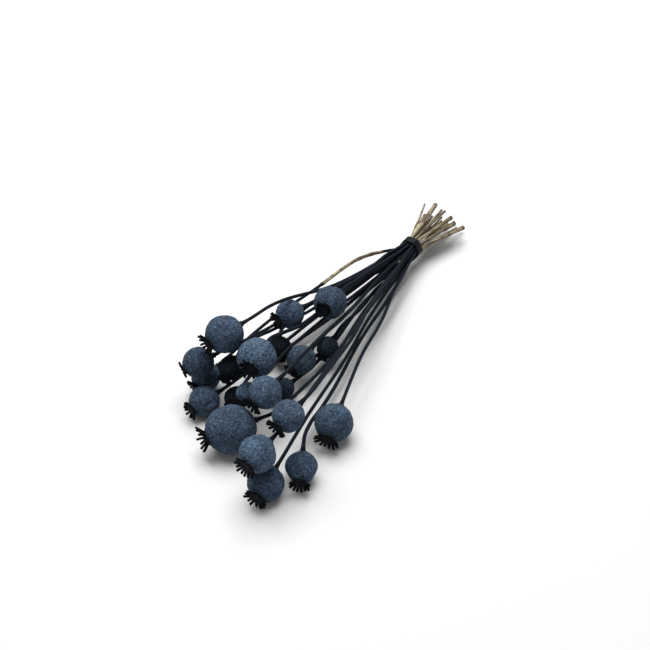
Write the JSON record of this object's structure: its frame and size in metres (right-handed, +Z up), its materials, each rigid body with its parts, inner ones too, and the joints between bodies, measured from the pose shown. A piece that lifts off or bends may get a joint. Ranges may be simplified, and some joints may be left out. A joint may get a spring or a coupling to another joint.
{
  "type": "tied bunch of poppy seed heads",
  "caption": "Dried poppy seed heads with fingered crowns on long thin stems, gathered by a dark band near the straw cut ends and lying on their side.",
  "frame": {"origin": "middle of the footprint, on the surface that the bunch lies on", "axes": "+Y along the bunch from the heads to the cut ends, +Z up"},
  "size_m": [0.1623, 0.4364, 0.0822],
  "materials": {
    "capsule": "dry, matte, dyed slate blue",
    "stem": "dry, dyed blue-black, straw at the cut ends",
    "tie": "matte"
  },
  "bodies": {
    "root": {"head_01": "capsule", "head_02": "capsule", "head_03": "capsule", "head_04": "capsule", "head_05": "capsule", "head_06": "capsule", "head_07": "capsule", "head_08": "capsule", "head_09": "capsule", "head_10": "capsule", "head_11": "capsule", "head_12": "capsule", "head_13": "capsule", "head_14": "capsule", "head_15": "capsule", "head_16": "capsule", "head_17": "capsule", "head_18": "capsule", "head_19": "capsule", "head_20": "capsule", "head_21": "capsule", "stem_01": "stem", "stem_02": "stem", "stem_03": "stem", "stem_04": "stem", "stem_05": "stem", "stem_06": "stem", "stem_07": "stem", "stem_08": "stem", "stem_09": "stem", "stem_10": "stem", "stem_11": "stem", "stem_12": "stem", "stem_13": "stem", "stem_14": "stem", "stem_15": "stem", "stem_16": "stem", "stem_17": "stem", "stem_18": "stem", "stem_19": "stem", "stem_20": "stem", "stem_21": "stem", "tie": "tie"}
  },
  "joints": []
}
